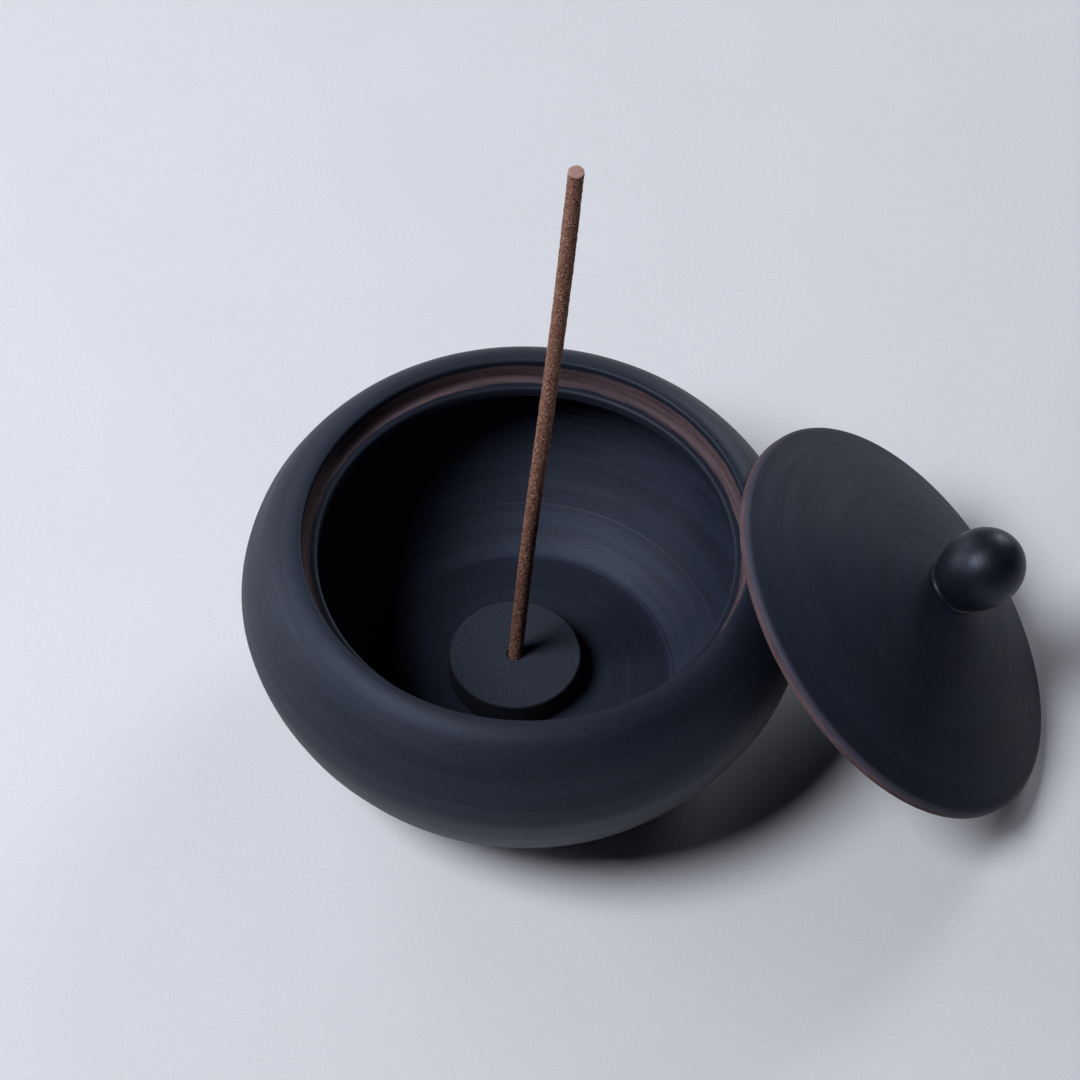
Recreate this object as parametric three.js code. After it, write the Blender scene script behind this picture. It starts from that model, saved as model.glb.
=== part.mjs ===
// An unglazed black stoneware incense burner: a thrown bowl with a stepped mouth, a lid with a ball
// knob that leans against the bowl, a pierced disc on the bowl's floor, and a stick standing in it.
// Millimetres, +Z up. The origin is the middle of the bowl's flat foot, on the surface it stands on.
// The lid leans on the bowl's +X side.
import * as THREE from 'three';

// Bowl, outside
const BELLY_RADIUS = 50;
const BELLY_HEIGHT = 31.5;
const FOOT_RADIUS = 27;
const FOOT_CURVE = 1.52;          // exponent of the curve from foot to belly, below 2 is straighter
const RIM_HEIGHT = 47.2;
const RIM_RADIUS = 39.65;         // where the shoulder turns over into the mouth
const SHOULDER_CURVE = 1.7;

// Stepped mouth that the lid drops into
const WALL_TOP_RADIUS = 38.95;
const WALL_FOOT_RADIUS = 38.75;
const RIM_ROUND = 0.5;
const SEAT_HEIGHT = 42.5;
const SEAT_FILLET = 1.0;
const LIP_ROUND = 0.6;
const THROAT_RADIUS = 36.35;

// Bowl, inside
const LIP_UNDERSIDE = 40.2;
const HOLLOW_RADIUS = 46.2;
const HOLLOW_HEIGHT = 30.8;       // height of the hollow's widest ring
const HOLLOW_TOP_CURVE = 2.2;
const HOLLOW_FOOT_CURVE = 1.46;
const FLOOR_RADIUS = 27;
const FLOOR_HEIGHT = 4.6;

// Lid, measured in its own frame: the plane of its top edge is at height 0
const LID_RADIUS = 38.15;
const LID_EDGE = 2.0;             // thickness at the edge
const LID_ROUND = 0.4;
const LID_RISE = 12.3;            // height of the knob's seat above the edge plane
const LID_BULGE = 1.1;            // how far the slope stands proud of a straight cone
const KNOB_SEAT_RADIUS = 5.2;
const LID_HOLLOW_RADIUS = 34.4;   // leaves a flat ring that rests on the ledge when it is closed
const LID_HOLLOW_DEPTH = 8.2;
const LID_TILT = THREE.MathUtils.degToRad(41.82);
const LID_TURN = THREE.MathUtils.degToRad(0.5);
const LID_CENTRE_X = 66.4;
const LID_CENTRE_Y = -1.9;

// Knob, on the lid's axis
const KNOB_RADIUS = 7.05;
const KNOB_CENTRE = 20.1;         // height of its widest ring above the lid's edge plane
const KNOB_TOP = 7.9;             // from the widest ring to the tip
const KNOB_TAPER = 8.9;           // from the widest ring down to where the ball's curve would close
const NECK_RADIUS = 5.3;
const NECK_HEIGHT = 0.9;

// Stick holder and stick
const HOLDER_RADIUS = 11.85;
const HOLDER_THICKNESS = 5.7;
const HOLDER_BEVEL = 0.4;
const HOLDER_X = -1.7;
const HOLDER_Y = 0.4;
const HOLE_RADIUS = 1.8;
const HOLE_DEPTH = 5.0;
const STICK_RADIUS = 1.3;
const STICK_LENGTH = 134.5;
const STICK_IN_HOLE = 4.5;
const STICK_TILT = THREE.MathUtils.degToRad(3.7);
const STICK_TURN = THREE.MathUtils.degToRad(-7.9);

const GAP = 0.3;                  // clearance between pieces that rest on each other
const TABLE_GAP = 0.1;            // the lid's lowest edge above the surface

const SLATE = { color: 0x2b3038, roughness: 0.62, metalness: 0 };
const HOLDER_SLATE = { color: 0x262a31, roughness: 0.8, metalness: 0 };
const INCENSE = { color: 0x7a5340, roughness: 0.9, metalness: 0 };

// A quarter of a superellipse about (centre, base), from angle `from` to `to`. At angle 0 it is
// `width` out from the centre, and at a quarter turn it is `height` above the base.
function curve(centre, base, width, height, exponent, from, to, steps) {
  const points = [];
  for (let i = 0; i <= steps; i++) {
    const angle = from + ((to - from) * i) / steps;
    const across = Math.pow(Math.max(Math.cos(angle), 0), 2 / exponent);
    const up = Math.pow(Math.max(Math.sin(angle), 0), 2 / exponent);
    points.push(new THREE.Vector2(centre + width * across, base + height * up));
  }
  return points;
}

function arc(centre, height, radius, from, to, steps) {
  const points = [];
  for (let i = 0; i <= steps; i++) {
    const angle = THREE.MathUtils.degToRad(from + ((to - from) * i) / steps);
    points.push(new THREE.Vector2(centre + radius * Math.cos(angle), height + radius * Math.sin(angle)));
  }
  return points;
}

// Turns an outline of (radius, height) points, listed anticlockwise, about the Z axis.
function turned(name, outline, segments, finish) {
  const spaced = outline.filter((point, i) => i === 0 || point.distanceTo(outline[i - 1]) > 1e-6);
  const geometry = new THREE.LatheGeometry(spaced, segments);
  geometry.rotateX(Math.PI / 2);
  const mesh = new THREE.Mesh(geometry, new THREE.MeshStandardMaterial(finish));
  mesh.name = name;
  return mesh;
}

function at(radius, height) {
  return new THREE.Vector2(radius, height);
}

function bowl() {
  const quarter = Math.PI / 2;
  const outline = [
    at(0, 0),
    ...curve(FOOT_RADIUS, BELLY_HEIGHT, BELLY_RADIUS - FOOT_RADIUS, -BELLY_HEIGHT, FOOT_CURVE, quarter, 0, 9),
    ...curve(RIM_RADIUS, BELLY_HEIGHT, BELLY_RADIUS - RIM_RADIUS, RIM_HEIGHT - BELLY_HEIGHT,
      SHOULDER_CURVE, 0, quarter, 8),
    ...arc(WALL_TOP_RADIUS + RIM_ROUND, RIM_HEIGHT - RIM_ROUND, RIM_ROUND, 90, 180, 2),
    ...arc(WALL_FOOT_RADIUS - SEAT_FILLET, SEAT_HEIGHT + SEAT_FILLET, SEAT_FILLET, 0, -90, 3),
    ...arc(THROAT_RADIUS + LIP_ROUND, SEAT_HEIGHT - LIP_ROUND, LIP_ROUND, 90, 180, 2),
    ...curve(THROAT_RADIUS, HOLLOW_HEIGHT, HOLLOW_RADIUS - THROAT_RADIUS, LIP_UNDERSIDE - HOLLOW_HEIGHT,
      HOLLOW_TOP_CURVE, quarter, 0, 6),
    ...curve(FLOOR_RADIUS, HOLLOW_HEIGHT, HOLLOW_RADIUS - FLOOR_RADIUS, FLOOR_HEIGHT - HOLLOW_HEIGHT,
      HOLLOW_FOOT_CURVE, 0, quarter, 8),
    at(0, FLOOR_HEIGHT),
  ];
  return turned('bowl', outline, 60, SLATE);
}

// The lid's slope: a straight cone from edge to knob seat with a shallow bulge added.
function slope(radius) {
  const inward = (LID_RADIUS - radius) / (LID_RADIUS - KNOB_SEAT_RADIUS);
  return LID_RISE * inward + LID_BULGE * Math.sin(Math.PI * inward);
}

function lid() {
  const outline = [at(0, LID_HOLLOW_DEPTH - LID_EDGE)];
  outline.push(...curve(0, -LID_EDGE, LID_HOLLOW_RADIUS, LID_HOLLOW_DEPTH, 2, Math.PI / 2, 0, 8));
  outline.push(...arc(LID_RADIUS - LID_ROUND, LID_ROUND - LID_EDGE, LID_ROUND, -90, 0, 2));
  outline.push(...arc(LID_RADIUS - LID_ROUND, -LID_ROUND / 2, LID_ROUND, 0, 60, 2));
  const steps = 7;
  for (let i = 1; i <= steps; i++) {
    const radius = LID_RADIUS - LID_ROUND - ((LID_RADIUS - LID_ROUND - KNOB_SEAT_RADIUS) * i) / steps;
    outline.push(at(radius, slope(radius)));
  }
  outline.push(at(0, LID_RISE));
  return turned('lid', outline, 60, SLATE);
}

function lidKnob() {
  const base = LID_RISE + GAP;
  const neckTop = base + NECK_HEIGHT;
  const closing = Math.asin((KNOB_CENTRE - neckTop) / KNOB_TAPER);
  const outline = [
    at(0, base),
    at(NECK_RADIUS - 0.3, base),
    at(NECK_RADIUS, base + NECK_HEIGHT / 3),
    ...curve(0, KNOB_CENTRE, KNOB_RADIUS, -KNOB_TAPER, 2, closing, 0, 5),
    ...curve(0, KNOB_CENTRE, KNOB_RADIUS, KNOB_TOP, 2, 0, Math.PI / 2, 6),
  ];
  return turned('lid_knob', outline, 32, SLATE);
}

// The lid's edge rests on the surface on one side, and the lid leans back on the bowl's shoulder.
function leaningLid() {
  const group = new THREE.Group();
  const lowest = LID_ROUND + (LID_RADIUS - LID_ROUND) * Math.sin(LID_TILT)
    + (LID_EDGE - LID_ROUND) * Math.cos(LID_TILT);
  group.position.set(LID_CENTRE_X, LID_CENTRE_Y, lowest + TABLE_GAP);
  group.rotation.set(0, LID_TILT, LID_TURN, 'ZYX');
  group.add(lid(), lidKnob());
  return group;
}

function stickHolder() {
  const top = HOLDER_THICKNESS;
  const outline = [
    at(0, 0),
    ...arc(HOLDER_RADIUS - HOLDER_BEVEL, HOLDER_BEVEL, HOLDER_BEVEL, -90, 0, 1),
    ...arc(HOLDER_RADIUS - HOLDER_BEVEL, top - HOLDER_BEVEL, HOLDER_BEVEL, 0, 90, 2),
    at(HOLE_RADIUS, top),
    at(HOLE_RADIUS, top - HOLE_DEPTH),
    at(0, top - HOLE_DEPTH),
  ];
  const mesh = turned('stick_holder', outline, 40, HOLDER_SLATE);
  mesh.position.set(HOLDER_X, HOLDER_Y, FLOOR_HEIGHT + GAP);
  return mesh;
}

// The stick stands in the middle of the hole, half way down it, and leans towards the lid.
function incenseStick() {
  const outline = [at(0, 0), at(STICK_RADIUS, 0), at(STICK_RADIUS, STICK_LENGTH), at(0, STICK_LENGTH)];
  const stick = turned('incense_stick', outline, 16, INCENSE);
  stick.position.z = -STICK_IN_HOLE / 2;
  const group = new THREE.Group();
  const holderTop = FLOOR_HEIGHT + GAP + HOLDER_THICKNESS;
  group.position.set(HOLDER_X, HOLDER_Y, holderTop - STICK_IN_HOLE / 2);
  group.rotation.set(0, STICK_TILT, STICK_TURN, 'ZYX');
  group.add(stick);
  return group;
}

const group = new THREE.Group();
group.add(bowl(), leaningLid(), stickHolder(), incenseStick());

export default group;
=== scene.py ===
import math

import bpy
from mathutils import Matrix, Vector, noise


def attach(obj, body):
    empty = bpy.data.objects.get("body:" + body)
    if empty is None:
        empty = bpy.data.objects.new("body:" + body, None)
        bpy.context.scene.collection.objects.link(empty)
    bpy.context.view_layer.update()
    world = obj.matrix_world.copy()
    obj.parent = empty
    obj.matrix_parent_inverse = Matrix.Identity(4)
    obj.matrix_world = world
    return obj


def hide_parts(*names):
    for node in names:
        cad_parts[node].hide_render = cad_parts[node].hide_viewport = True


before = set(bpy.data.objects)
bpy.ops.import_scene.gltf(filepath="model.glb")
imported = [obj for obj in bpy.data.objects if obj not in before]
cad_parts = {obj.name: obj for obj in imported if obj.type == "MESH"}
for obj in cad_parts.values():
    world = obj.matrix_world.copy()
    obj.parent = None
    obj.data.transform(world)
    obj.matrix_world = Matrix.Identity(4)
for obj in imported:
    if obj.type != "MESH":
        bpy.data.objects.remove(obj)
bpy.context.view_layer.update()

MM = 0.001
QUARTER = math.pi / 2
BOWL_SEGMENTS, LID_SEGMENTS, KNOB_SEGMENTS = 256, 256, 128
HOLDER_SEGMENTS, STICK_SEGMENTS = 160, 64


# ---------------------------------------------------------------- outlines and turned meshes


def curve(centre, base, width, height, exponent, start, end, steps=240):
    """A quarter of a superellipse: `width` out from the centre at angle 0, `height` up at a quarter."""
    points = []
    for i in range(steps + 1):
        angle = start + (end - start) * i / steps
        across = max(math.cos(angle), 0) ** (2 / exponent)
        up = max(math.sin(angle), 0) ** (2 / exponent)
        points.append((centre + width * across, base + height * up))
    return points


def arc(centre, height, radius, start, end, steps=24):
    points = []
    for i in range(steps + 1):
        angle = math.radians(start + (end - start) * i / steps)
        points.append((centre + radius * math.cos(angle), height + radius * math.sin(angle)))
    return points


def spaced(outline, step, fine=(), fine_step=0.1, bend=9):
    """The outline again, with a point every `step`, every `bend` degrees of turn, and every
    `fine_step` near the (radius, height, reach) places in `fine`."""
    dense = [outline[0]]
    for point in outline[1:]:
        length = math.dist(point, dense[-1])
        if length < 1e-6:
            continue
        parts = max(1, math.ceil(length / (fine_step / 2)))
        last = dense[-1]
        for i in range(1, parts + 1):
            dense.append(tuple(a + (b - a) * i / parts for a, b in zip(last, point)))
    kept = [dense[0]]
    heading, turned_by, gone = None, 0.0, 0.0
    for before, point in zip(dense, dense[1:]):
        way = math.atan2(point[1] - before[1], point[0] - before[0])
        if heading is not None:
            turned_by += abs(math.remainder(way - heading, 2 * math.pi))
        heading = way
        gone += math.dist(point, before)
        near = any(math.dist(point, (r, h)) < reach for r, h, reach in fine)
        if gone >= (fine_step if near else step) or turned_by >= math.radians(bend):
            kept.append(point)
            turned_by, gone = 0.0, 0.0
    if math.dist(kept[-1], dense[-1]) > 1e-6:
        kept.append(dense[-1])
    return kept


def turned(name, outline, segments, relief=None):
    """A closed mesh from (radius, height) points, listed anticlockwise and turned about Z.
    `relief` gives how far each point stands out of the smooth surface, in millimetres."""
    vertices, rings = [], []
    for i, (radius, height) in enumerate(outline):
        before, after = outline[max(i - 1, 0)], outline[min(i + 1, len(outline) - 1)]
        along = Vector((after[0] - before[0], after[1] - before[1])).normalized()
        count = 1 if radius < 1e-6 else segments
        rings.append(range(len(vertices), len(vertices) + count))
        for k in range(count):
            angle = 2 * math.pi * k / segments
            out = relief(radius, height, angle) if relief else 0.0
            if count == 1:
                vertices.append((0, 0, (height - out * along.x) * MM))
                continue
            r, h = radius + out * along.y, height - out * along.x
            vertices.append((r * math.cos(angle) * MM, r * math.sin(angle) * MM, h * MM))
    faces = []
    for low, high in zip(rings, rings[1:]):
        for k in range(segments):
            n = (k + 1) % segments
            if len(low) == 1:
                faces.append((low[0], high[n], high[k]))
            elif len(high) == 1:
                faces.append((low[k], low[n], high[0]))
            else:
                faces.append((low[k], low[n], high[n], high[k]))
    mesh = bpy.data.meshes.new(name)
    mesh.from_pydata(vertices, [], faces)
    mesh.shade_smooth()
    mesh.validate()
    piece = bpy.data.objects.new(name, mesh)
    bpy.context.scene.collection.objects.link(piece)
    return piece


def ripple(angle, *at):
    """Smooth noise, about -1 to 1, that closes on itself round the axis and drifts slowly along it."""
    drift = 0.55
    spot = Vector((drift * math.cos(angle), drift * math.sin(angle), 0))
    return noise.noise(spot + Vector(at)) * 1.6


# ---------------------------------------------------------------- material helpers


def srgb(red, green, blue):
    """Linear RGBA from 0-255 display values."""
    def linear(value):
        share = value / 255
        return share / 12.92 if share <= 0.04045 else ((share + 0.055) / 1.055) ** 2.4

    return (linear(red), linear(green), linear(blue), 1)


class Shade:
    """A procedural material: a Principled surface, and short calls that add and join its nodes."""

    def __init__(self, name):
        self.material = bpy.data.materials.new(name)
        self.material.use_nodes = True
        self.tree = self.material.node_tree
        self.surface = next(n for n in self.tree.nodes if n.type == "BSDF_PRINCIPLED")
        self.place = self.node("TexCoord").outputs["Object"]
        flat = self.vector("MULTIPLY", self.place, (1, 1, 0))
        self.radius = self.node("VectorMath", flat, operation="LENGTH").outputs["Value"]
        self.around = self.vector("NORMALIZE", flat)
        self.height = self.node("SeparateXYZ", self.place).outputs["Z"]

    def put(self, socket, value):
        if isinstance(value, bpy.types.NodeSocket):
            self.tree.links.new(value, socket)
        elif value is not None:
            socket.default_value = value

    def node(self, kind, *inputs, **settings):
        made = self.tree.nodes.new("ShaderNode" + kind)
        for key, value in settings.items():
            setattr(made, key, value)
        for socket, value in zip(made.inputs, inputs):
            self.put(socket, value)
        return made

    def math(self, operation, *inputs):
        return self.node("Math", *inputs, operation=operation).outputs[0]

    def vector(self, operation, *inputs):
        return self.node("VectorMath", *inputs, operation=operation).outputs["Vector"]

    def band(self, value, start, end, low=0.0, high=1.0):
        """`low` up to start, `high` from end on, and a smooth step between."""
        return self.node(
            "MapRange", value, start, end, low, high, interpolation_type="SMOOTHSTEP"
        ).outputs[0]

    def mix(self, share, first, second, blend="MIX"):
        made = self.node("Mix", data_type="RGBA", blend_type=blend)
        for socket, value in zip((made.inputs[0], made.inputs[6], made.inputs[7]), (share, first, second)):
            self.put(socket, value)
        return made.outputs[2]

    def darken(self, colour, tone):
        """The colour multiplied by a number."""
        grey = self.node("CombineColor", tone, tone, tone).outputs[0]
        return self.mix(1.0, colour, grey, "MULTIPLY")

    def grain(self, size, detail=2.0, roughness=0.5, shift=(0, 0, 0)):
        """Noise with lumps about `size` metres across."""
        made = self.node("TexNoise", self.vector("ADD", self.place, shift))
        for key, value in (("Scale", 1 / size), ("Detail", detail), ("Roughness", roughness)):
            made.inputs[key].default_value = value
        return made.outputs[0]

    def rings(self, pitch, drift, detail=2.0, roughness=0.5, shift=0.0):
        """Noise drawn out into rings about the axis, `pitch` metres apart, which come and go
        `drift` times on the way round."""
        up = self.node("CombineXYZ", shift, 0.0, self.height).outputs[0]
        spot = self.vector("MULTIPLY_ADD", self.around, (drift * pitch,) * 3, up)
        made = self.node("TexNoise", spot, self.radius, noise_dimensions="4D")
        for key, value in (("Scale", 1 / pitch), ("Detail", detail), ("Roughness", roughness)):
            made.inputs[key].default_value = value
        return made.outputs[0]

    def bump(self, height, distance, strength=1.0, under=None):
        made = self.node("Bump", strength, distance)
        self.put(made.inputs["Height"], height)
        self.put(made.inputs["Normal"], under)
        return made.outputs[0]

    def finish(self, **sockets):
        for key, value in sockets.items():
            self.put(self.surface.inputs[key.replace("_", " ")], value)
        return self.material


# ---------------------------------------------------------------- materials

OUTER_SLIP = srgb(26, 31, 42), srgb(37, 42, 55), srgb(31, 33, 42)
INNER_SLIP = srgb(27, 32, 45), srgb(46, 53, 70), srgb(38, 41, 53)
KNOB_SLIP = srgb(14, 18, 26), srgb(22, 26, 36), srgb(21, 22, 29)
BARE, BARE_DARK, BARE_PALE = srgb(92, 72, 74), srgb(66, 52, 55), srgb(104, 90, 92)
# the first colour is worn slip that is also a painted highlight on the lid's edge; the second is painted
# shade for the bowl's floor
WORN_SLIP_AND_HIGHLIGHT, FLOOR_SHADE = srgb(74, 70, 82), srgb(22, 26, 36)
SHEEN_TINT = (0.74, 0.84, 1.0, 1)


def stoneware(name, colours, bare_share, pitch, rough, gloss, turning=1.0, patch=None):
    """Black stoneware with turning lines `pitch` apart, in its main, light and brownish colours.
    `bare_share(shade)` is where the bare clay shows (on the knob, a painted highlight in the clay's
    colour),
    `patch(shade)` gives the share and colour of a part painted over the slip, such as painted shade on a
    floor or worn slip with a painted highlight on an edge, and `turning` is how deep the turning lines
    are."""
    shade = Shade(name)
    slate, light, brown = colours
    clouds = shade.grain(26 * MM, 3)
    broad = shade.rings(pitch * 3.4, 0.7, 3, 0.55, 7.7)
    lines = shade.rings(pitch, 1.2, 4, 0.6)
    fine = shade.rings(pitch * 0.3, 3.0, 2, 0.6, 3.1)
    sand = shade.grain(0.3 * MM, 3, 0.65)
    colour = shade.mix(shade.band(clouds, 0.42, 0.66), slate, brown)
    colour = shade.mix(shade.band(broad, 0.4, 0.7, 0.0, 0.3 + 0.25 * turning), colour, light)
    colour = shade.mix(shade.band(lines, 0.42, 0.78, 0.0, 0.2 + 0.2 * turning), colour, light)
    tone = shade.band(fine, 0.3, 0.7, 1 - 0.09 * turning, 1 + 0.09 * turning)
    tone = shade.math("MULTIPLY", tone, shade.band(sand, 0.35, 0.65, 0.74, 1.26))
    colour = shade.darken(colour, tone)
    bare = bare_share(shade)
    clay = shade.mix(shade.band(shade.rings(0.9 * MM, 3.0, 3), 0.35, 0.65), BARE_DARK, BARE)
    clay = shade.mix(shade.band(shade.grain(0.25 * MM, 3), 0.5, 0.75, 0.0, 0.4), clay, BARE_PALE)
    colour = shade.mix(bare, colour, clay)
    # the patch lays painted shade or a painted highlight over the slip
    if patch:
        share, tint = patch(shade)
        colour = shade.mix(share, colour, tint)
    roughness = shade.math("ADD", shade.band(lines, 0.3, 0.7, rough + 0.03, rough - 0.03),
                           shade.math("MULTIPLY", bare, 0.25))
    normal = shade.bump(lines, 0.04 * MM, 0.25 * turning)
    normal = shade.bump(fine, 0.015 * MM, 0.3 * turning, normal)
    normal = shade.bump(sand, 0.05 * MM, 0.8, normal)
    return shade.finish(Base_Color=colour, Roughness=roughness, Normal=normal,
                        Specular_IOR_Level=gloss, Specular_Tint=SHEEN_TINT)


def bowl_bare(shade):
    """Bare clay on the wall and ledge that the lid drops into, and on the foot's flat."""
    wander = shade.band(shade.grain(5 * MM, 2), 0.2, 0.8, -0.18 * MM, 0.18 * MM)
    height = shade.math("ADD", shade.height, wander)
    radius = shade.math("ADD", shade.radius, wander)
    seat = shade.band(radius, 37.5 * MM, 37.75 * MM)
    seat = shade.math("MULTIPLY", seat, shade.band(shade.radius, 39.2 * MM, 39.4 * MM, 1.0, 0.0))
    seat = shade.math("MULTIPLY", seat, shade.band(shade.height, 41.2 * MM, 41.8 * MM))
    seat = shade.math("MULTIPLY", seat, shade.band(height, 45.75 * MM, 46.0 * MM, 1.0, 0.0))
    foot = shade.band(height, 0.1 * MM, 0.5 * MM, 1.0, 0.0)
    return shade.math("MAXIMUM", seat, foot)


def lid_bare(shade):
    """Bare clay round the lid's edge and on the flat band under it that rests on the ledge."""
    wander = shade.band(shade.grain(5 * MM, 2), 0.2, 0.8, -0.12 * MM, 0.12 * MM)
    height = shade.math("ADD", shade.height, wander)
    radius = shade.math("ADD", shade.radius, wander)
    edge = shade.band(radius, 35.6 * MM, 35.9 * MM)
    return shade.math("MULTIPLY", edge, shade.band(height, -0.85 * MM, -0.6 * MM, 1.0, 0.0))


def lid_worn_edge_and_highlight(shade):
    """The slip is thin over the rounded top edge, and this lighter band is also a painted highlight along
    it.
    """
    edge = shade.band(shade.radius, 37.3 * MM, 37.9 * MM, 0.0, 0.75)
    return shade.math("MULTIPLY", edge, shade.band(shade.height, -0.8 * MM, -0.6 * MM)), WORN_SLIP_AND_HIGHLIGHT


def floor_painted_shade(shade):
    """Painted shade: the bowl's floor is darkened inside its outer ring."""
    return shade.band(shade.radius, 25.6 * MM, 27.6 * MM, 0.55, 0.0), FLOOR_SHADE


def knob_collar_highlight(shade):
    """A lighter clay tone low on the neck, round the collar: a painted highlight."""
    return shade.band(shade.height, 12.2 * MM, 12.6 * MM, 0.3, 0.0)


def holder_stone():
    shade = Shade("sandy_black_stoneware")
    sand = shade.grain(0.3 * MM, 3, 0.65)
    grit = shade.grain(0.7 * MM, 2, 0.5, (0.1, 0.2, 0.3))
    clouds = shade.grain(9 * MM, 2)
    colour = shade.mix(shade.band(sand, 0.38, 0.62), srgb(26, 32, 42), srgb(53, 61, 74))
    colour = shade.mix(shade.band(clouds, 0.35, 0.65, 0.0, 0.3), colour, srgb(46, 50, 59))
    colour = shade.mix(shade.band(grit, 0.68, 0.76, 0.0, 0.3), colour, srgb(70, 74, 82))
    # painted shade: the disc's side wall is darkened to near black
    painted_side_shade = shade.band(shade.radius, 11.6 * MM, 11.9 * MM, 1.0, 0.2)
    colour = shade.darken(colour, painted_side_shade)
    normal = shade.bump(sand, 0.12 * MM, 0.8)
    normal = shade.bump(grit, 0.06 * MM, 0.4, normal)
    return shade.finish(Base_Color=colour, Roughness=shade.band(sand, 0.3, 0.7, 0.72, 0.86),
                        Normal=normal, Specular_IOR_Level=0.35)


def incense():
    shade = Shade("pressed_incense")
    grains = shade.grain(0.42 * MM, 4, 0.65)
    dust = shade.grain(0.2 * MM, 2, 0.5, (0.3, 0.1, 0.2))
    length = shade.grain(6 * MM, 2)
    colour = shade.mix(shade.band(grains, 0.38, 0.62), srgb(72, 42, 32), srgb(136, 95, 76))
    colour = shade.mix(shade.band(length, 0.35, 0.65, 0.0, 0.35), colour, srgb(104, 66, 50))
    colour = shade.mix(shade.band(dust, 0.55, 0.66, 0.0, 0.8), colour, srgb(210, 170, 146))
    tip = shade.band(shade.height, (STICK_LENGTH - 0.25) * MM, (STICK_LENGTH - 0.1) * MM)
    colour = shade.mix(tip, colour, srgb(172, 138, 124))
    normal = shade.bump(grains, 0.35 * MM, 0.8)
    normal = shade.bump(dust, 0.15 * MM, 0.6, normal)
    return shade.finish(Base_Color=colour, Roughness=shade.band(grains, 0.3, 0.7, 0.95, 0.82),
                        Normal=normal, Specular_IOR_Level=0.2)


def paper():
    shade = Shade("pale_floor")
    mottle = shade.grain(40 * MM, 3)
    fibre = shade.grain(0.5 * MM, 3, 0.6)
    colour = shade.mix(shade.band(mottle, 0.3, 0.7), srgb(221, 221, 221), srgb(224, 224, 224))
    colour = shade.mix(shade.band(fibre, 0.35, 0.65, 0.0, 0.5), colour, srgb(212, 212, 212))
    return shade.finish(Base_Color=colour, Roughness=0.75, Specular_IOR_Level=0.2,
                        Normal=shade.bump(fibre, 0.08 * MM, 0.5))


def clothe(piece, materials, body, slot, *nodes):
    """Gives a piece its materials and its CAD body, and hides the CAD nodes it stands for. `slot` is not
    used.
    """
    for material in materials:
        piece.data.materials.append(material)
    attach(piece, body)
    if nodes:
        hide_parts(*nodes)
    return piece


# ---------------------------------------------------------------- bowl

BELLY_RADIUS, BELLY_HEIGHT = 50.0, 31.5
FOOT_RADIUS, FOOT_CURVE = 27.0, 1.52
RIM_RADIUS, RIM_HEIGHT, SHOULDER_CURVE = 39.65, 47.2, 1.7
WALL_TOP_RADIUS, WALL_FOOT_RADIUS, RIM_ROUND = 38.95, 38.75, 0.5
SEAT_HEIGHT, SEAT_FILLET, LIP_ROUND = 42.5, 1.0, 0.6
THROAT_RADIUS, LIP_UNDERSIDE = 36.35, 40.2
HOLLOW_RADIUS, HOLLOW_HEIGHT, HOLLOW_TOP_CURVE, HOLLOW_FOOT_CURVE = 46.2, 30.8, 2.2, 1.46
FLOOR_RADIUS, FLOOR_HEIGHT = 27.0, 4.6
GROOVE_RADIUS, GROOVE_HEIGHT = 35.4, 10.3
FOOT_FADE, RIM_FADE = 8, 3        # how far from the foot and the rim the outer ridges reach full depth


def bowl_outline():
    return spaced(
        [(0, 0)]
        + curve(FOOT_RADIUS, BELLY_HEIGHT, BELLY_RADIUS - FOOT_RADIUS, -BELLY_HEIGHT,
                FOOT_CURVE, QUARTER, 0)
        + curve(RIM_RADIUS, BELLY_HEIGHT, BELLY_RADIUS - RIM_RADIUS, RIM_HEIGHT - BELLY_HEIGHT,
                SHOULDER_CURVE, 0, QUARTER)
        + arc(WALL_TOP_RADIUS + RIM_ROUND, RIM_HEIGHT - RIM_ROUND, RIM_ROUND, 90, 180)
        + arc(WALL_FOOT_RADIUS - SEAT_FILLET, SEAT_HEIGHT + SEAT_FILLET, SEAT_FILLET, 0, -90)
        + arc(THROAT_RADIUS + LIP_ROUND, SEAT_HEIGHT - LIP_ROUND, LIP_ROUND, 90, 180)
        + curve(THROAT_RADIUS, HOLLOW_HEIGHT, HOLLOW_RADIUS - THROAT_RADIUS, LIP_UNDERSIDE - HOLLOW_HEIGHT,
                HOLLOW_TOP_CURVE, QUARTER, 0)
        + curve(FLOOR_RADIUS, HOLLOW_HEIGHT, HOLLOW_RADIUS - FLOOR_RADIUS, FLOOR_HEIGHT - HOLLOW_HEIGHT,
                HOLLOW_FOOT_CURVE, 0, QUARTER)
        + [(0, FLOOR_HEIGHT)],
        0.62, ((GROOVE_RADIUS, GROOVE_HEIGHT, 0.7), (FLOOR_RADIUS, FLOOR_HEIGHT, 0.8)), 0.11)


def inner_radius(height):
    """The smooth inner wall's radius at a height."""
    if height >= HOLLOW_HEIGHT:
        share = (height - HOLLOW_HEIGHT) / (LIP_UNDERSIDE - HOLLOW_HEIGHT)
        across = max(1 - share ** HOLLOW_TOP_CURVE, 0) ** (1 / HOLLOW_TOP_CURVE)
        return THROAT_RADIUS + (HOLLOW_RADIUS - THROAT_RADIUS) * across
    share = min((HOLLOW_HEIGHT - height) / (HOLLOW_HEIGHT - FLOOR_HEIGHT), 1)
    across = max(1 - share ** HOLLOW_FOOT_CURVE, 0) ** (1 / HOLLOW_FOOT_CURVE)
    return FLOOR_RADIUS + (HOLLOW_RADIUS - FLOOR_RADIUS) * across


def inside_bowl(radius, height):
    return FLOOR_HEIGHT - 0.3 < height < LIP_UNDERSIDE and radius < inner_radius(height) + 0.3


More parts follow.
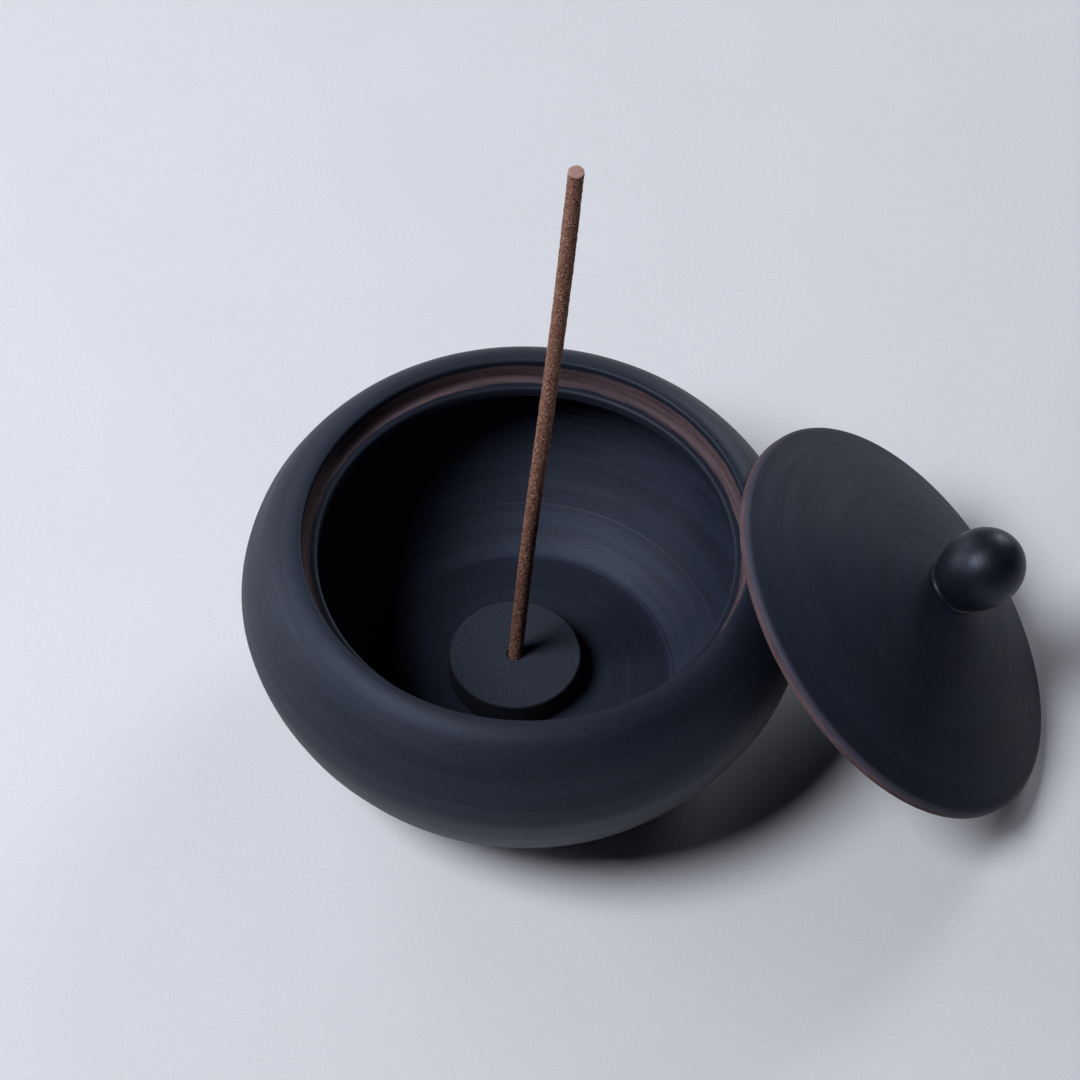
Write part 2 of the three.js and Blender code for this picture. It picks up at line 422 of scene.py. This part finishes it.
def bowl_relief(radius, height, angle):
    """Throwing ridges inside and out, with a scored ring and a ring round the floor inside.
    The foot and the mouth are trued, so the ridges fade there."""
    if not inside_bowl(radius, height):
        trued = min(height / FOOT_FADE, 1) * min(max((radius - RIM_RADIUS) / RIM_FADE, 0.2), 1)
        return trued * (0.13 * ripple(angle, 2, radius / 4.6, height / 4.6)
                        + 0.03 * ripple(angle, 5, radius / 1.7, height / 1.7))
    out = 0.06 * ripple(angle, 0, radius / 3.1, height / 3.1)
    out += 0.026 * ripple(angle, 4, radius / 1.3, height / 1.3)
    groove = math.dist((radius, height), (GROOVE_RADIUS, GROOVE_HEIGHT)) / 0.26
    corner = math.dist((radius, height), (FLOOR_RADIUS - 0.3, FLOOR_HEIGHT)) / 0.3
    return out - 0.05 * math.exp(-groove * groove) - 0.05 * math.exp(-corner * corner)


bowl = turned("bowl_body", bowl_outline(), BOWL_SEGMENTS, bowl_relief)
bowl_slips = (
    stoneware("bowl_black_stoneware", OUTER_SLIP, bowl_bare, 1.1 * MM, 0.53, 0.29, 0.7),
    # the inner stoneware carries painted shade on the bowl's floor
    stoneware("bowl_inner_stoneware", INNER_SLIP, bowl_bare, 0.9 * MM, 0.6, 0.4, 1.0, floor_painted_shade),
)
clothe(bowl, bowl_slips, "bowl", "black_stoneware", "bowl")
for face in bowl.data.polygons:
    middle = face.center / MM
    face.material_index = int(inside_bowl(math.hypot(middle.x, middle.y), middle.z))

# ---------------------------------------------------------------- lid and knob

LID_RADIUS, LID_EDGE, LID_ROUND = 38.15, 2.0, 0.4
LID_RISE, LID_BULGE, KNOB_SEAT_RADIUS = 12.3, 1.1, 5.2
TOP_ROUND = 0.7
LID_HOLLOW_RADIUS, LID_HOLLOW_DEPTH = 34.4, 8.2
LID_TILT, LID_TURN = math.radians(41.82), math.radians(0.5)
LID_CENTRE_X, LID_CENTRE_Y, TABLE_GAP = 66.4, -1.9, 0.1
KNOB_RADIUS, KNOB_CENTRE, KNOB_TOP, KNOB_TAPER = 7.05, 19.95, 7.9, 9.6
COLLAR_RADIUS = 5.2


def slope(radius):
    inward = (LID_RADIUS - radius) / (LID_RADIUS - KNOB_SEAT_RADIUS)
    return LID_RISE * inward + LID_BULGE * math.sin(math.pi * inward)


def lid_outline():
    outer, steps = LID_RADIUS - LID_ROUND, 60
    radii = [outer - (outer - KNOB_SEAT_RADIUS) * i / steps for i in range(1, steps + 1)]
    return spaced(
        curve(0, -LID_EDGE, LID_HOLLOW_RADIUS, LID_HOLLOW_DEPTH, 2, QUARTER, 0)
        + arc(outer, LID_ROUND - LID_EDGE, LID_ROUND, -90, 0)
        + arc(LID_RADIUS - TOP_ROUND, 0.1 - TOP_ROUND, TOP_ROUND, 0, 62)
        + [(radius, slope(radius)) for radius in radii]
        + [(0, LID_RISE)],
        0.55, fine_step=0.15)


def lid_relief(radius, height, angle):
    return 0.022 * ripple(angle, 7, radius / 2.4, 0) + 0.01 * ripple(angle, 9, radius / 1.1, 0)


def knob_outline():
    base = LID_RISE + 0.02
    closing = math.asin((KNOB_CENTRE - base - 0.95) / KNOB_TAPER)
    return spaced(
        [(0, base), (COLLAR_RADIUS - 0.15, base)]
        + arc(COLLAR_RADIUS - 0.4, base + 0.3, 0.4, -45, 60)
        + curve(0, KNOB_CENTRE, KNOB_RADIUS, -KNOB_TAPER, 2, closing, 0)
        + curve(0, KNOB_CENTRE, KNOB_RADIUS, KNOB_TOP, 2, 0, QUARTER),
        0.22, fine_step=0.1)


def knob_relief(radius, height, angle):
    return 0.015 * ripple(angle, 3, 0, height / 1.7)


lowest = (
    LID_ROUND
    + (LID_RADIUS - LID_ROUND) * math.sin(LID_TILT)
    + (LID_EDGE - LID_ROUND) * math.cos(LID_TILT)
)
lid_place = (
    Matrix.Translation(Vector((LID_CENTRE_X, LID_CENTRE_Y, lowest + TABLE_GAP)) * MM)
    @ Matrix.Rotation(LID_TURN, 4, "Z")
    @ Matrix.Rotation(LID_TILT, 4, "Y")
)
lid = turned("lid_disc", lid_outline(), LID_SEGMENTS, lid_relief)
lid.matrix_world = lid_place
# the lid's rounded top edge gets a lighter band: worn slip and a painted highlight
lid_slip = stoneware("lid_black_stoneware", OUTER_SLIP, lid_bare, 0.9 * MM, 0.6, 0.21, 0.2, lid_worn_edge_and_highlight)
clothe(lid, [lid_slip], "lid", "lid_stoneware", "lid")
knob = turned("lid_ball_knob", knob_outline(), KNOB_SEGMENTS, knob_relief)
knob.matrix_world = lid_place
# the knob's collar gets a lighter clay tone as a painted highlight
knob_slip = stoneware("knob_black_stoneware", KNOB_SLIP, knob_collar_highlight, 0.7 * MM, 0.43, 0.35, 0.5)
clothe(knob, [knob_slip], "lid", "lid_stoneware", "lid_knob")

# ---------------------------------------------------------------- stick holder and stick

HOLDER_RADIUS, HOLDER_THICKNESS, HOLDER_BEVEL = 12.0, 5.7, 0.4
HOLDER_X, HOLDER_Y, GAP = -1.7, 0.4, 0.3
HOLE_MOUTH, HOLE_DEPTH = 1.5, 5.0
STICK_RADIUS, STICK_LENGTH, STICK_IN_HOLE = 1.3, 134.5, 4.5
STICK_TILT, STICK_TURN = math.radians(3.7), math.radians(-7.9)
STICK_BOW = 0.2


def holder_outline():
    top = HOLDER_THICKNESS
    edge = HOLDER_RADIUS - HOLDER_BEVEL
    return spaced(
        [(0, 0)]
        + arc(edge, HOLDER_BEVEL, HOLDER_BEVEL, -90, 0)
        + arc(edge, top - HOLDER_BEVEL, HOLDER_BEVEL, 0, 90)
        + arc(HOLE_MOUTH + 0.12, top - 0.12, 0.12, 90, 180)
        + [(HOLE_MOUTH, top - HOLE_DEPTH), (0, top - HOLE_DEPTH)],
        0.3)


def holder_relief(radius, height, angle):
    """A hand-cut disc: the top is a little uneven and sandy, and the edge isn't quite true."""
    spot = Vector((radius * math.cos(angle), radius * math.sin(angle), height))
    chipped = 0.06 if math.dist((radius, height), (HOLDER_RADIUS, HOLDER_THICKNESS)) < 0.7 else 0.02
    return 0.05 * noise.noise(spot / 4.5) + chipped * noise.noise(spot / 0.6)


def stick_outline():
    return spaced(
        [(0, 0), (STICK_RADIUS - 0.1, 0)]
        + [(STICK_RADIUS, 0.1), (STICK_RADIUS, STICK_LENGTH - 0.08), (STICK_RADIUS - 0.08, STICK_LENGTH)]
        + [(0, STICK_LENGTH)],
        0.3)


def stick_relief(radius, height, angle):
    """Pressed paste: coarse grains all over, and a thickness that wanders a little."""
    spot = Vector((radius * math.cos(angle), radius * math.sin(angle), height))
    grains = 0.09 * noise.noise(spot / 0.55) + 0.06 * noise.noise(spot / 0.27)
    return grains + 0.05 * noise.noise(Vector((0, 0, height / 9)))


holder = turned("holder_disc", holder_outline(), HOLDER_SEGMENTS, holder_relief)
holder.location = Vector((HOLDER_X, HOLDER_Y, FLOOR_HEIGHT + GAP)) * MM
clothe(holder, [holder_stone()], "holder", "holder_stoneware", "stick_holder")

holder_top = FLOOR_HEIGHT + GAP + HOLDER_THICKNESS
stick = turned("incense_rod", stick_outline(), STICK_SEGMENTS, stick_relief)
stick.matrix_world = (
    Matrix.Translation(Vector((HOLDER_X, HOLDER_Y, holder_top - STICK_IN_HOLE / 2)) * MM)
    @ Matrix.Rotation(STICK_TURN, 4, "Z")
    @ Matrix.Rotation(STICK_TILT, 4, "Y")
    @ Matrix.Translation(Vector((0, 0, -STICK_IN_HOLE / 2)) * MM)
)
for vertex in stick.data.vertices:
    vertex.co.x -= STICK_BOW * MM * math.sin(2 * math.pi * vertex.co.z / (STICK_LENGTH * MM))
clothe(stick, [incense()], "stick", "incense", "incense_stick")

# ---------------------------------------------------------------- floor, lights and camera

FLOOR_HALF = 0.8
DAYLIGHT = (0.947, 0.974, 1.079)
AIM_HEIGHT = 0.03
CAMERA_PLACE, CAMERA_LENS = (0, -0.38721, 0.55876), 123.33
CAMERA_PAN, CAMERA_DIP, CAMERA_ROLL = -0.356, 52.974, 1.234


def floor():
    mesh = bpy.data.meshes.new("floor")
    corners = [(x * FLOOR_HALF, y * FLOOR_HALF, 0) for x, y in ((-1, -1), (1, -1), (1, 1), (-1, 1))]
    mesh.from_pydata(corners, [], [(0, 1, 2, 3)])
    mesh.materials.append(paper())
    made = bpy.data.objects.new("floor", mesh)
    bpy.context.scene.collection.objects.link(made)


def lamp(name, azimuth, elevation, width, height, power):
    """A soft light a metre away that looks at the middle of the bowl from an azimuth about Z."""
    data = bpy.data.lights.new(name, "AREA")
    data.shape, data.size, data.size_y = "ELLIPSE", width, height
    data.energy, data.color = power, DAYLIGHT
    turn, rise = math.radians(azimuth), math.radians(elevation)
    way = Vector((math.cos(rise) * math.cos(turn), math.cos(rise) * math.sin(turn), math.sin(rise)))
    made = bpy.data.objects.new(name, data)
    made.location = way + Vector((0, 0, AIM_HEIGHT))
    made.rotation_euler = way.to_track_quat("Z", "Y").to_euler()
    made.visible_camera = False
    bpy.context.scene.collection.objects.link(made)


def room(ambient, backdrop):
    """A dim room that the camera sees as a pale backdrop."""
    world = bpy.data.worlds.new("studio")
    world.use_nodes = True
    nodes, links = world.node_tree.nodes, world.node_tree.links
    dim = next(n for n in nodes if n.type == "BACKGROUND")
    dim.inputs["Color"].default_value = ambient
    pale = nodes.new("ShaderNodeBackground")
    pale.inputs["Color"].default_value = backdrop
    path, choose = nodes.new("ShaderNodeLightPath"), nodes.new("ShaderNodeMixShader")
    links.new(path.outputs["Is Camera Ray"], choose.inputs[0])
    links.new(dim.outputs[0], choose.inputs[1])
    links.new(pale.outputs[0], choose.inputs[2])
    links.new(choose.outputs[0], next(n for n in nodes if n.type == "OUTPUT_WORLD").inputs[0])
    bpy.context.scene.world = world


floor()
lamp("window", 208, 56, 0.4, 0.4, 9.0)
lamp("fill_right", 58, 22, 0.35, 0.4, 3.0)
lamp("fill_back", 128, 24, 0.5, 0.4, 1.6)
lamp("fill_left", 168, 16, 0.6, 0.3, 3.2)
room(ambient=(0.014, 0.014, 0.018, 1), backdrop=(0.56, 0.58, 0.64, 1))

camera = bpy.data.objects.new("camera", bpy.data.cameras.new("camera"))
camera.data.sensor_width = 36
camera.data.lens = CAMERA_LENS
camera.data.clip_start = 0.01
camera.matrix_world = (
    Matrix.Translation(CAMERA_PLACE)
    @ Matrix.Rotation(math.radians(CAMERA_PAN), 4, "Z")
    @ Matrix.Rotation(math.radians(90 - CAMERA_DIP), 4, "X")
    @ Matrix.Rotation(math.radians(CAMERA_ROLL), 4, "Z")
)
bpy.context.scene.collection.objects.link(camera)
bpy.context.scene.camera = camera
bpy.context.scene.view_settings.view_transform = "Standard"
